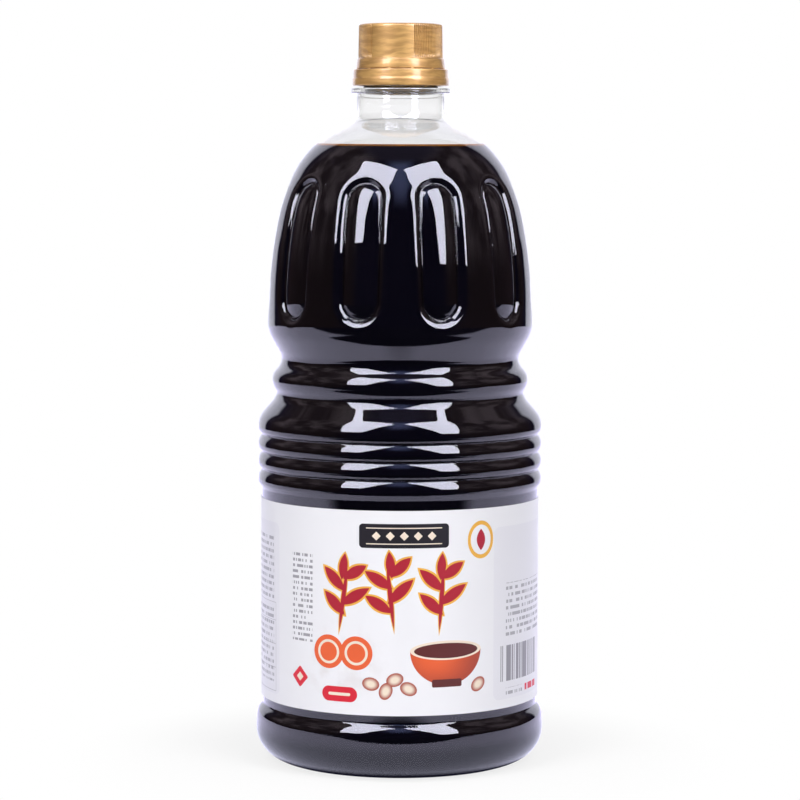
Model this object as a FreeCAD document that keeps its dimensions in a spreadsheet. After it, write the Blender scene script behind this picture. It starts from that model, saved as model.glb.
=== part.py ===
import FreeCAD, Part
import math
import os

import Sketcher
from FreeCAD import Vector

# Soy sauce jug: a blown clear bottle with a ribbed waist and a domed shoulder that
# carries ten recessed finger grips, filled with soy sauce to just under the neck, with
# a wrap-around label and a screw cap that still has its tamper band.
#
# Units are millimetres.  +Z runs up the jug's axis, the origin is the centre of the
# ring that it stands on, and the front of the label faces -Y.

# Driving dimensions: name, value, what it is.
SIZES = [
    # Blown body, from the foot up
    ("wall", 1.0, "wall of the blown body"),
    ("push_up", 9.0, "height of the dished base over its standing ring"),
    ("push_flat", 12.0, "radius of the dish's flat middle"),
    ("dish_round", 10.0, "rounding round the dish's middle"),
    ("foot_inner", 34.5, "inner radius of the standing ring"),
    ("foot_round", 1.5, "rounding inside the standing ring"),
    ("base_radius", 49.05, "radius of the bumper over the foot"),
    ("heel_round", 11.05, "rounding from the foot to the bumper"),
    ("bumper_top", 17.0, "height where the bumper turns in"),
    ("bumper_round", 5.4, "rounding over the bumper"),
    ("panel_low", 19.2, "lower end of the label panel"),
    ("panel_high", 93.2, "upper end of the label panel"),
    ("panel_low_radius", 47.0, "label panel's radius at its lower end"),
    ("panel_high_radius", 47.2, "label panel's radius at its upper end"),
    ("panel_low_round", 1.4, "fillet at the label panel's lower end"),
    ("panel_high_round", 0.8, "fillet at the label panel's upper end"),
    ("belt_low", 95.2, "lower edge of the ribbed belt"),
    ("belt_high", 117.1, "upper edge of the ribbed belt"),
    ("belt_radius", 48.4, "radius of the belt between its ribs"),
    ("belt_low_round", 1.6, "rounding under the belt"),
    ("belt_high_round", 8.0, "rounding over the belt"),
    ("apron_radius", 42.7, "radius where the slope over the belt steepens to the groove"),
    ("apron_height", 123.6, "height where that slope steepens to the groove"),
    ("apron_round", 5.6, "curve between slope and groove"),
    ("groove_radius", 42.0, "radius of the groove under the ridge"),
    ("groove_height", 125.6, "height of the groove under the ridge"),
    ("groove_round", 2.0, "rounding in that groove"),
    ("ridge_radius", 44.9, "radius of the ridge under the waist"),
    ("ridge_height", 130.5, "height of the ridge under the waist"),
    ("ridge_round", 5.4, "rounding over that ridge"),
    ("waist_radius", 39.5, "radius of the waist"),
    ("waist_height", 136.4, "height of the waist"),
    ("waist_round", 4.2, "rounding in the waist"),
    ("dome_radius", 45.1, "largest radius of the dome"),
    ("dome_foot", 146.2, "height where the waist meets the dome"),
    ("dome_foot_round", 11.0, "rounding where the waist meets the dome"),
    ("dome_side", 169.5, "height where the dome's side begins to lean"),
    ("dome_side_round", 150.0, "curve of the dome's side"),
    ("shoulder_radius", 40.3, "radius where the dome turns into the shoulder"),
    ("shoulder_height", 192.1, "height where the dome turns into the shoulder"),
    ("shoulder_round", 49.0, "curve between dome and shoulder"),
    ("crown_radius", 30.75, "radius where the shoulder flattens"),
    ("crown_height", 210.5, "height where the shoulder flattens"),
    ("crown_round", 34.0, "curve of the shoulder's crown"),
    ("neck_radius", 14.75, "neck's radius under its support ring"),
    ("neck_root", 217.95, "height where the shoulder meets the neck"),
    ("neck_root_round", 4.5, "fillet where the shoulder meets the neck"),
    ("ring_radius", 16.8, "radius of the neck's support ring"),
    ("ring_low", 226.7, "underside of the support ring"),
    ("ring_high", 228.4, "top of the support ring"),
    ("ring_round", 0.45, "rounding of the support ring's rim"),
    ("finish_radius", 12.6, "radius of the finish that takes the cap"),
    ("finish_round", 0.5, "fillet at the finish's foot"),
    ("finish_top", 248.0, "lip of the neck"),
    ("lip_round", 0.4, "rounding of the lip"),
    ("bore_radius", 10.9, "radius of the bore through the finish"),
    ("bore_low", 224.5, "height where the bore begins to narrow"),
    ("bore_clear", 1.0, "what the bore's tool reaches past the lip"),
    # Grooves between the belt's ribs
    ("rib_count", 3, "grooves round the belt"),
    ("rib_first", 111.6, "height of the highest groove"),
    ("rib_pitch", 5.95, "spacing of the grooves"),
    ("rib_depth", 1.3, "depth of the corner at the bottom of a groove"),
    ("rib_round", 0.45, "rounding at the bottom of a groove"),
    ("rib_under", 1.1, "height from a groove to the rib's lower edge above it"),
    ("rib_under_round", 2.4, "rounding under a rib"),
    ("rib_over", 1.8, "height from a groove down to the rib's upper edge below it"),
    ("rib_over_round", 5.3, "rounding over a rib"),
    # Finger grips of the dome
    ("grip_count", 10, "recessed grips round the dome"),
    ("grip_depth", 1.6, "depth of a grip's floor under the dome"),
    ("grip_height", 174.4, "height of a grip's middle"),
    ("grip_half_length", 17.1, "half the straight length of a grip"),
    ("grip_half_width", 6.3, "half the width of a grip's tool at its root"),
    ("grip_root", 37.5, "distance of the tool's root from the axis"),
    ("grip_reach", 14.0, "length of the tool"),
    ("grip_lean", 8.0, "degrees that a grip looks up"),
    ("grip_draft", 12.0, "slope of a grip's walls in degrees"),
    # Sauce and label
    ("sauce_level", 209.0, "level of the sauce"),
    ("label_low", 22.3, "lower edge of the label"),
    ("label_high", 90.6, "upper edge of the label"),
    ("label_thick", 0.3, "thickness of the label"),
    # Screw cap
    ("cap_low", 235.2, "lower edge of the cap"),
    ("cap_top", 250.0, "top of the cap"),
    ("flange_high", 238.3, "upper edge of the cap's flange"),
    ("flange_radius", 15.05, "radius of the cap's flange"),
    ("flange_round", 0.35, "rounding of the flange"),
    ("pad_radius", 14.35, "radius of the cap's smooth pads at their foot"),
    ("pad_top_radius", 14.15, "radius of the cap's pads at the top"),
    ("cap_edge_round", 0.9, "rounding of the cap's top edge"),
    ("cap_bore", 13.0, "inner radius of the cap's skirt"),
    ("knurl_arcs", 3, "knurled stretches round the cap"),
    ("knurl_count", 20, "flutes in one knurled stretch"),
    ("knurl_sweep", 57.0, "degrees from the first flute of a stretch to its last"),
    ("knurl_start", 19.5, "degrees from the front to the first flute"),
    ("knurl_low", 238.6, "lower end of the flutes"),
    ("knurl_high", 249.0, "upper end of the flutes"),
    ("flute_root", 13.9, "radius of a flute's root"),
    ("flute_mouth", 14.6, "radius at which a flute's sides are measured"),
    ("flute_half_width", 0.45, "half the width between a flute's sides there"),
    # Tamper band
    ("band_low", 229.2, "lower edge of the tamper band"),
    ("band_high", 234.8, "upper edge of the tamper band"),
    ("band_low_radius", 16.35, "radius of the band at its lower edge"),
    ("band_high_radius", 15.95, "radius of the band at its upper edge"),
    ("band_bore", 14.6, "inner radius of the band"),
    ("band_round", 0.3, "rounding of the band's outer edges"),
    ("bridge_count", 12, "bridges between band and cap"),
    ("bridge_start", 15.0, "degrees from the front to the first bridge"),
    ("bridge_half_width", 0.5, "half the width of a bridge"),
    ("bridge_inner", 14.0, "inner radius of the bridges"),
    ("bridge_outer", 14.9, "outer radius of the bridges"),
]

VALUES = {name: value for name, value, _ in SIZES}


def size(formula):
    """Number for a sum or difference of named sizes, such as 'neck_radius - wall'."""
    total = 0.0
    sign = 1.0
    for word in formula.split():
        if word in "+-":
            sign = 1.0 if word == "+" else -1.0
        else:
            total += sign * VALUES[word]
    return total


def cell_formula(formula):
    """The same sum as an expression on the sheet's cells."""
    return " ".join(w if w in "+-" else "sizes." + w for w in formula.split())


def bind(item, prop, formula):
    """Tie a property of a document object to the sheet."""
    item.setExpression(prop, cell_formula(formula))


def add_sheet(doc):
    """Spreadsheet with one aliased cell for each driving dimension."""
    sheet = doc.addObject("Spreadsheet::Sheet", "sizes")
    for row, (name, value, note) in enumerate(SIZES, start=1):
        sheet.set(f"A{row}", name)
        sheet.set(f"B{row}", str(value))
        sheet.setAlias(f"B{row}", name)
        sheet.set(f"C{row}", note)
    doc.recompute()


def origin_plane(body, role):
    """One of a body's own origin planes."""
    return next(f for f in body.Origin.OriginFeatures if f.Role == role)


def add_sketch(body, name, role):
    """Sketch on one of the body's origin planes."""
    sketch = body.newObject("Sketcher::SketchObject", name)
    sketch.AttachmentSupport = (origin_plane(body, role), [""])
    sketch.MapMode = "FlatFace"
    return sketch


def constrain(sketch, kind, *where, formula=None):
    """Add one constraint, with its number tied to the sheet if it has a formula."""
    if formula is None:
        return sketch.addConstraint(Sketcher.Constraint(kind, *where))
    index = sketch.addConstraint(Sketcher.Constraint(kind, *where, size(formula)))
    bind(sketch, f"Constraints[{index}]", formula)
    return index


def corner_arc(corner, before, after, radius):
    """Start, centre and end of the arc that rounds a corner between two neighbours."""
    back = (before - corner).normalize()
    forth = (after - corner).normalize()
    half = back.getAngle(forth) / 2
    reach = radius / math.tan(half)
    inward = (back + forth).normalize()
    centre = corner + inward * (radius / math.sin(half))
    return corner + back * reach, centre, corner + forth * reach


def add_arc(sketch, centre, start, end):
    """Short arc about a centre, and whether it runs from start to end anticlockwise."""
    arm, other = start - centre, end - centre
    forward = arm.cross(other).z > 0
    if not forward:
        arm, other = other, arm
    circle = Part.Circle(centre, Vector(0, 0, 1), arm.Length)
    begin = math.atan2(arm.y, arm.x)
    sweep = arm.getAngle(other)
    return sketch.addGeometry(Part.ArcOfCircle(circle, begin, begin + sweep)), forward


def rounded_outline(sketch, corners):
    """Closed outline through corners of (radius, height, rounding), each a formula.

    A radius of None lies on the axis, a height of None lies on the ground, and a
    rounding of None leaves the corner sharp.
    """
    points = [
        Vector(size(r) if r else 0, size(z) if z else 0, 0) for r, z, _ in corners
    ]
    count = len(corners)
    marks, starts, ends = [], [], []
    for number, (radius, height, rounding) in enumerate(corners):
        corner = points[number]
        mark = sketch.addGeometry(Part.Point(corner), True)
        marks.append(mark)
        if radius:
            constrain(sketch, "DistanceX", -1, 1, mark, 1, formula=radius)
        else:
            constrain(sketch, "PointOnObject", mark, 1, -2)
        if height:
            constrain(sketch, "DistanceY", -1, 1, mark, 1, formula=height)
        else:
            constrain(sketch, "PointOnObject", mark, 1, -1)
        if rounding:
            after = points[(number + 1) % count]
            start, centre, end = corner_arc(corner, points[number - 1], after, size(rounding))
            arc, forward = add_arc(sketch, centre, start, end)
            starts.append((start, arc, 1 if forward else 2))
            ends.append((end, arc, 2 if forward else 1))
            constrain(sketch, "Radius", arc, formula=rounding)
        else:
            starts.append((corner, mark, 1))
            ends.append((corner, mark, 1))
    for number in range(count):
        following = (number + 1) % count
        begin, first, first_end = ends[number]
        stop, second, second_end = starts[following]
        line = sketch.addGeometry(Part.LineSegment(begin, stop))
        join_line(sketch, line, 1, first, first_end, marks[number])
        join_line(sketch, line, 2, second, second_end, marks[following])


def join_line(sketch, line, line_end, other, other_end, mark):
    """Join a line's end to a sharp corner's mark, or run it smoothly into an arc."""
    if other == mark:
        constrain(sketch, "Coincident", line, line_end, mark, 1)
    else:
        constrain(sketch, "Tangent", line, line_end, other, other_end)
        constrain(sketch, "PointOnObject", mark, 1, line)


def revolved(doc, name, corners):
    """Body turned from a rounded outline; its seam lies at the back."""
    body = doc.addObject("PartDesign::Body", name)
    sketch = add_sketch(body, name + "_outline", "YZ_Plane")
    rounded_outline(sketch, corners)
    turn = body.newObject("PartDesign::Revolution", name + "_turn")
    turn.Profile = sketch
    turn.ReferenceAxis = (sketch, ["V_Axis"])
    turn.Angle = 360
    return body


def offset_of(doc, source, name, formula):
    """Solid grown, or shrunk if the formula is negative, by an even thickness."""
    grown = doc.addObject("Part::Offset", name)
    grown.Source = source
    grown.Join = 2
    bind(grown, "Value", formula)
    return grown


def cut(doc, name, base, tool):
    """What is left of base without tool."""
    result = doc.addObject("Part::Cut", name)
    result.Base = base
    result.Tool = tool
    return result


def fuse(doc, name, shapes):
    """One solid from several."""
    result = doc.addObject("Part::MultiFuse", name)
    result.Shapes = shapes
    return result


def rib_corners():
    """Corners of the grooves between the belt's ribs, from the lowest groove up."""
    corners = []
    for number in reversed(range(int(VALUES["rib_count"]))):
        middle = "rib_first" + " - rib_pitch" * number
        corners += [
            ("belt_radius", middle + " - rib_over", "rib_over_round"),
            ("belt_radius - rib_depth", middle, "rib_round"),
            ("belt_radius", middle + " + rib_under", "rib_under_round"),
        ]
    return corners


def body_blank(doc, name, ribs):
    """Outer form of the blown body, closed and solid, without grips.

    The belt's ribs are given as corners; the list is empty for a plain belt.
    """
    return revolved(
        doc,
        name,
        [
            (None, "push_up", None),
            ("push_flat", "push_up", "dish_round"),
            ("foot_inner", None, "foot_round"),
            ("base_radius", None, "heel_round"),
            ("base_radius", "bumper_top", "bumper_round"),
            ("panel_low_radius", "panel_low", "panel_low_round"),
            ("panel_high_radius", "panel_high", "panel_high_round"),
            ("belt_radius", "belt_low", "belt_low_round"),
            *ribs,
            ("belt_radius", "belt_high", "belt_high_round"),
            ("apron_radius", "apron_height", "apron_round"),
            ("groove_radius", "groove_height", "groove_round"),
            ("ridge_radius", "ridge_height", "ridge_round"),
            ("waist_radius", "waist_height", "waist_round"),
            ("dome_radius", "dome_foot", "dome_foot_round"),
            ("dome_radius", "dome_side", "dome_side_round"),
            ("shoulder_radius", "shoulder_height", "shoulder_round"),
            ("crown_radius", "crown_height", "crown_round"),
            ("neck_radius", "neck_root", "neck_root_round"),
            ("neck_radius", "ring_high", None),
            (None, "ring_high", None),
        ],
    )


def grip_tools(doc, name, half_width):
    """Tapered round-ended tools that press the finger grips, each between two lands."""
    body = doc.addObject("PartDesign::Body", name)
    body.AllowCompound = True
    sketch = add_sketch(body, name + "_outline", "XZ_Plane")
    stadium(sketch, half_width, "grip_half_length")
    half_step = "180 / sizes.grip_count"
    sketch.setExpression("AttachmentOffset.Base.x", f"sizes.grip_root * sin({half_step})")
    sketch.setExpression("AttachmentOffset.Base.y", "sizes.grip_height")
    sketch.setExpression("AttachmentOffset.Base.z", f"sizes.grip_root * cos({half_step})")
    sketch.setExpression("AttachmentOffset.Rotation.Pitch", half_step)
    sketch.setExpression("AttachmentOffset.Rotation.Roll", "-sizes.grip_lean")
    pad = body.newObject("PartDesign::Pad", name + "_pad")
    pad.Profile = sketch
    bind(pad, "Length", "grip_reach")
    bind(pad, "TaperAngle", "grip_draft")
    repeat_round(body, pad, name + "_ring", "grip_count")
    return body


def repeat_round(body, feature, name, count):
    """Repeat a body's feature evenly round the axis."""
    pattern = body.newObject("PartDesign::PolarPattern", name)
    pattern.Originals = [feature]
    pattern.Axis = (origin_plane(body, "Z_Axis"), [""])
    pattern.Angle = 360
    bind(pattern, "Occurrences", count)
    body.Tip = pattern
    return pattern


def stadium(sketch, half_width, half_length):
    """Upright round-ended slot about the sketch's origin."""
    across, along = size(half_width), size(half_length)
    upper, lower = Vector(0, along, 0), Vector(0, -along, 0)
    side = Vector(across, 0, 0)
    rise = Vector(0, across, 0)
    top = sketch.addGeometry(Part.Arc(upper + side, upper + rise, upper - side))
    bottom = sketch.addGeometry(Part.Arc(lower - side, lower - rise, lower + side))
    left = sketch.addGeometry(Part.LineSegment(upper - side, lower - side))
    right = sketch.addGeometry(Part.LineSegment(lower + side, upper + side))
    constrain(sketch, "Tangent", top, 2, left, 1)
    constrain(sketch, "Tangent", left, 2, bottom, 1)
    constrain(sketch, "Tangent", bottom, 2, right, 1)
    constrain(sketch, "Tangent", right, 2, top, 1)
    constrain(sketch, "PointOnObject", top, 3, -2)
    constrain(sketch, "PointOnObject", bottom, 3, -2)
    constrain(sketch, "Radius", top, formula=half_width)
    constrain(sketch, "DistanceY", -1, 1, top, 3, formula=half_length)
    constrain(sketch, "DistanceY", bottom, 3, -1, 1, formula=half_length)


def neck_finish(doc):
    """Support ring and the plain tube over it that the cap screws on to, still solid."""
    return revolved(
        doc,
        "finish",
        [
            (None, "ring_low", None),
            ("ring_radius", "ring_low", "ring_round"),
            ("ring_radius", "ring_high", "ring_round"),
            ("finish_radius", "ring_high", "finish_round"),
            ("finish_radius", "finish_top", "lip_round"),
            (None, "finish_top", None),
        ],
    )


def neck_bore(doc):
    """Tool that opens the neck: wide under the ring, narrow through the finish."""
    return revolved(
        doc,
        "bore",
        [
            (None, "neck_root", None),
            ("neck_radius - wall", "neck_root", None),
            ("neck_radius - wall", "bore_low", None),
            ("bore_radius", "ring_high", None),
            ("bore_radius", "finish_top + bore_clear", None),
            (None, "finish_top + bore_clear", None),
        ],
    )


def with_grips(doc, name, plain, tools, floor):
    """Form whose dome is pressed in by the tools, down to an even floor."""
    return fuse(doc, name, [cut(doc, name + "_pierced", plain, tools), floor])


def bottle_and_sauce(doc):
    """Blown bottle, and the sauce that fills it up to its level."""
    blank = body_blank(doc, "blank", [])
    ribbed = body_blank(doc, "ribbed", rib_corners())
    outer_floor = offset_of(doc, blank, "outer_floor", "- grip_depth")
    outer_tools = grip_tools(doc, "outer_grips", "grip_half_width")
    outside = with_grips(doc, "outside", ribbed, outer_tools, outer_floor)

    lining = offset_of(doc, ribbed, "lining", "- wall")
    inner_floor = offset_of(doc, blank, "inner_floor", "- wall - grip_depth")
    inner_tools = grip_tools(doc, "inner_grips", "grip_half_width + wall")
    cavity = with_grips(doc, "cavity", lining, inner_tools, inner_floor)

    shell = fuse(doc, "shell", [outside, neck_finish(doc)])
    hollow = fuse(doc, "hollow", [cavity, neck_bore(doc)])
    bottle = cut(doc, "bottle", shell, hollow)

    level = doc.addObject("Part::Cylinder", "level")
    bind(level, "Radius", "base_radius")
    bind(level, "Height", "sauce_level")
    sauce = doc.addObject("Part::Common", "soy_sauce")
    sauce.Base = cavity
    sauce.Tool = level
    return [bottle, sauce]


def label(doc):
    """Sleeve of the wrap-around label, which follows the panel's slight taper."""
    return revolved(
        doc,
        "label",
        [
            ("panel_low_radius", "label_low", None),
            ("panel_low_radius + label_thick", "label_low", None),
            ("panel_high_radius + label_thick", "label_high", None),
            ("panel_high_radius", "label_high", None),
        ],
    )


def cap_blank(doc):
    """Cap without its knurls: flange, drafted skirt and closed top over the lip."""
    return revolved(
        doc,
        "cap",
        [
            (None, "finish_top", None),
            ("cap_bore", "finish_top", None),
            ("cap_bore", "cap_low", None),
            ("flange_radius", "cap_low", "flange_round"),
            ("flange_radius", "flange_high", "flange_round"),
            ("pad_radius", "flange_high", None),
            ("pad_top_radius", "cap_top", "cap_edge_round"),
            (None, "cap_top", None),
        ],
    )


def wedge(sketch, tip, mouth, half_width):
    """Triangle that points from its mouth towards the axis, on the front side."""
    depths = [size(tip), size(mouth), size(mouth)]
    offsets = [0.0, size(half_width), -size(half_width)]
    corners = [Vector(x, -depth, 0) for x, depth in zip(offsets, depths)]
    lines = [
        sketch.addGeometry(Part.LineSegment(corners[n], corners[(n + 1) % 3]))
        for n in range(3)
    ]
    for number in range(3):
        constrain(sketch, "Coincident", lines[number], 2, lines[(number + 1) % 3], 1)
    constrain(sketch, "PointOnObject", lines[0], 1, -2)
    constrain(sketch, "DistanceY", lines[0], 1, -1, 1, formula=tip)
    constrain(sketch, "DistanceY", lines[1], 1, -1, 1, formula=mouth)
    constrain(sketch, "DistanceY", lines[1], 2, -1, 1, formula=mouth)
    constrain(sketch, "DistanceX", -1, 1, lines[1], 1, formula=half_width)
    constrain(sketch, "DistanceX", lines[1], 2, -1, 1, formula=half_width)


def screw_cap(doc):
    """Cap whose skirt alternates three smooth pads with three finely fluted arcs."""
    body = cap_blank(doc)
    doc.recompute()
    plain_volume = body.Shape.Volume
    sketch = add_sketch(body, "flute_outline", "XY_Plane")
    bind(sketch, "AttachmentOffset.Base.z", "knurl_low")
    bind(sketch, "AttachmentOffset.Rotation.Yaw", "knurl_start")
    wedge(sketch, "flute_root", "flute_mouth", "flute_half_width")
    flute = body.newObject("PartDesign::Pocket", "flute")
    flute.Profile = sketch
    bind(flute, "Length", "knurl_high - knurl_low")
    flute.Reversed = True
    doc.recompute()
    if body.Shape.Volume >= plain_volume:
        raise RuntimeError("the cap's flute cuts nothing")
    stretch = body.newObject("PartDesign::PolarPattern", "flutes_of_one_arc")
    stretch.Axis = (origin_plane(body, "Z_Axis"), [""])
    bind(stretch, "Angle", "knurl_sweep")
    bind(stretch, "Occurrences", "knurl_count")
    ring = body.newObject("PartDesign::PolarPattern", "arcs_of_the_cap")
    ring.Axis = (origin_plane(body, "Z_Axis"), [""])
    ring.Angle = 360
    bind(ring, "Occurrences", "knurl_arcs")
    knurl = body.newObject("PartDesign::MultiTransform", "knurl")
    knurl.Originals = [flute]
    knurl.Transformations = [stretch, ring]
    body.Tip = knurl
    return body


def tamper_band(doc):
    """Flared band left under the cap, with small bridges to the cap."""
    body = revolved(
        doc,
        "tamper_band",
        [
            ("band_bore", "band_low", None),
            ("band_low_radius", "band_low", "band_round"),
            ("band_high_radius", "band_high", "band_round"),
            ("band_bore", "band_high", None),
        ],
    )
    sketch = add_sketch(body, "bridge_outline", "XY_Plane")
    bind(sketch, "AttachmentOffset.Base.z", "band_high")
    bind(sketch, "AttachmentOffset.Rotation.Yaw", "bridge_start")
    block(sketch, "bridge_half_width", "bridge_inner", "bridge_outer")
    bridge = body.newObject("PartDesign::Pad", "bridge")
    bridge.Profile = sketch
    bind(bridge, "Length", "cap_low - band_high")
    repeat_round(body, bridge, "bridges", "bridge_count")
    return body


def block(sketch, half_width, inner, outer):
    """Rectangle on the front side, between two distances from the axis."""
    across, near, far = size(half_width), size(inner), size(outer)
    corners = [(-across, -far), (across, -far), (across, -near), (-across, -near)]
    points = [Vector(x, y, 0) for x, y in corners]
    lines = [
        sketch.addGeometry(Part.LineSegment(points[n], points[(n + 1) % 4]))
        for n in range(4)
    ]
    for number in range(4):
        constrain(sketch, "Coincident", lines[number], 2, lines[(number + 1) % 4], 1)
    for number in (0, 2):
        constrain(sketch, "Horizontal", lines[number])
    for number in (1, 3):
        constrain(sketch, "Vertical", lines[number])
    constrain(sketch, "DistanceX", lines[0], 1, -1, 1, formula=half_width)
    constrain(sketch, "DistanceX", -1, 1, lines[0], 2, formula=half_width)
    constrain(sketch, "DistanceY", lines[0], 1, -1, 1, formula=outer)
    constrain(sketch, "DistanceY", lines[2], 1, -1, 1, formula=inner)


def check(doc, nodes):
    """Stop if any object failed to compute or any node is not one valid solid."""
    for item in doc.Objects:
        if "Invalid" in item.State or "Error" in item.State:
            raise RuntimeError(f"{item.Label} did not compute: {item.State}")
    for node in nodes:
        shape = node.Shape
        if shape.isNull() or not shape.isValid() or len(shape.Solids) != 1:
            raise RuntimeError(f"{node.Label} is not one valid solid")


def main():
    doc = FreeCAD.newDocument("soy_sauce_jug")
    add_sheet(doc)
    nodes = bottle_and_sauce(doc)
    nodes += [label(doc), screw_cap(doc), tamper_band(doc)]
    doc.recompute()
    check(doc, nodes)
    os.makedirs("parts", exist_ok=True)
    for node in nodes:
        print(f"{node.Label}: {node.Shape.Volume / 1000:.2f} cubic centimetres")
        node.Shape.exportStep(f"parts/{node.Label}.step")


main()
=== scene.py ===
"""Soy sauce jug: a clear blown bottle of dark sauce, with a printed label and a gold screw cap.

Sizes in the classes are millimetres; meshes are made in metres. The bottle stands on the floor with
its axis on Z, and the front of its label looks along -Y.
"""

import logging
import math
from collections.abc import Sequence
from dataclasses import dataclass, field
from enum import Enum
from itertools import pairwise

import bpy
import numpy as np
from mathutils import Matrix, Vector

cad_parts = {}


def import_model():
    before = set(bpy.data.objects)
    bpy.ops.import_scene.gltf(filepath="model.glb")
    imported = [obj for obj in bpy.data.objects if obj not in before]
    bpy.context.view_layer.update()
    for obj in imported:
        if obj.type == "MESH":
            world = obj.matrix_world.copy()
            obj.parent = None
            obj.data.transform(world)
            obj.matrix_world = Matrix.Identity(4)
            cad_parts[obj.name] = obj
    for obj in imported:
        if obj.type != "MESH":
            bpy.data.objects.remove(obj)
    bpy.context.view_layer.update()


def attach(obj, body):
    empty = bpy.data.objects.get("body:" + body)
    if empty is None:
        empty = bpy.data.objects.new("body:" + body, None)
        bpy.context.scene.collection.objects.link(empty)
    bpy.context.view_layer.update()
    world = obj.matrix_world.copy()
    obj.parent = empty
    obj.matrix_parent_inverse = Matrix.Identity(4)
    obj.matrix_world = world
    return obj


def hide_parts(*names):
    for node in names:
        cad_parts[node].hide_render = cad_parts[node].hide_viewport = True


MM = 0.001
WELD = 0.001 * MM
LOG = logging.getLogger("soy_sauce_jug")

Piece = bpy.types.Object
Socket = bpy.types.NodeSocket
Link = Socket | float | tuple[float, ...]
Colour = tuple[float, float, float]
Place = tuple[float, float, float]
Pair = tuple[float, float]


# Modelling


def select_only(piece: Piece) -> None:
    """Makes a piece the only one selected, and the active one."""
    bpy.ops.object.select_all(action="DESELECT")
    piece.select_set(True)
    bpy.context.view_layer.objects.active = piece


def start_piece(name: str, start: Vector) -> Piece:
    """Adds a small plane and welds it to one point, from which an outline is drawn.

    Args:
        name: Name of the new object and of its mesh.
        start: Place of the point, in metres.

    Returns:
        The new object, in edit mode, with its point selected.
    """
    bpy.ops.object.select_all(action="DESELECT")
    bpy.ops.mesh.primitive_plane_add(size=MM, location=start)
    bpy.ops.object.transform_apply(location=True, rotation=False, scale=False)
    piece = bpy.context.active_object
    piece.name = piece.data.name = name
    bpy.ops.object.mode_set(mode="EDIT")
    bpy.ops.mesh.select_mode(type="VERT")
    bpy.ops.mesh.select_all(action="SELECT")
    bpy.ops.mesh.merge(type="CENTER")
    return piece


def weld(piece: Piece) -> None:
    """Welds a piece's doubles, and leaves it in edit mode with everything selected."""
    select_only(piece)
    bpy.ops.object.mode_set(mode="EDIT")
    bpy.ops.mesh.select_all(action="SELECT")
    bpy.ops.mesh.remove_doubles(threshold=WELD)


def clean_up(piece: Piece, inside: bool = False) -> None:
    """Welds doubles and turns a piece's faces to one side, then shades it smooth.

    Args:
        piece: The piece, which ends in object mode.
        inside: Whether its faces are to look inwards.
    """
    weld(piece)
    bpy.ops.mesh.normals_make_consistent(inside=inside)
    bpy.ops.object.mode_set(mode="OBJECT")
    bpy.ops.object.shade_smooth()


def turned(name: str, points: Sequence[Vector], columns: int, sweep: float = 360.0) -> Piece:
    """Draws an outline and turns it round the axis.

    Args:
        name: Name of the new object.
        points: Radius and height of each point of the outline, in millimetres.
        columns: Number of steps of the turn.
        sweep: Degrees of the turn, which begins at the back.

    Returns:
        The new object, in object mode.
    """
    places = [Vector((0.0, point.x, point.y)) * MM for point in points]
    piece = start_piece(name, places[0])
    for here, there in pairwise(places):
        bpy.ops.mesh.extrude_region_move(TRANSFORM_OT_translate={"value": there - here})
    bpy.ops.object.mode_set(mode="OBJECT")
    whole = sweep == 360.0
    apply_modifier(piece, "SCREW", angle=math.radians(sweep), steps=columns, render_steps=columns,
                   use_merge_vertices=whole, merge_threshold=WELD)
    return piece


def apply_modifier(piece: Piece, kind: str, **settings: object) -> None:
    """Gives a piece one modifier and applies it."""
    select_only(piece)
    modifier = piece.modifiers.new(kind.title(), kind)
    for key, value in settings.items():
        setattr(modifier, key, value)
    bpy.ops.object.modifier_apply(modifier=modifier.name)


def join(pieces: Sequence[Piece]) -> Piece:
    """Joins pieces into the first of them."""
    select_only(pieces[0])
    for piece in pieces[1:]:
        piece.select_set(True)
    bpy.ops.object.join()
    return pieces[0]


def coordinates(piece: Piece) -> np.ndarray:
    """Places of a piece's points in millimetres, one row each."""
    flat = np.empty(3 * len(piece.data.vertices))
    piece.data.vertices.foreach_get("co", flat)
    return flat.reshape(-1, 3) / MM


def weigh(piece: Piece, group: str, weights: np.ndarray) -> None:
    """Stores one weight per point in a vertex group, leaving out points of no weight."""
    points = piece.vertex_groups.new(name=group)
    for index in np.flatnonzero(weights > 0.0):
        points.add([int(index)], float(weights[index]), "REPLACE")


def push(piece: Piece, group: str, weights: np.ndarray, distance: float) -> None:
    """Moves each point along its normal by its weight's share of a distance in millimetres."""
    weigh(piece, group, weights)
    apply_modifier(piece, "DISPLACE", strength=distance * MM, mid_level=0.0, vertex_group=group)


@dataclass(frozen=True)
class Corner:
    """One corner of a turned outline and the radius of its rounding."""

    radius: float
    height: float
    rounding: float = 0.0

    @property
    def place(self) -> Vector:
        """The corner's radius and height."""
        return Vector((self.radius, self.height))


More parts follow.
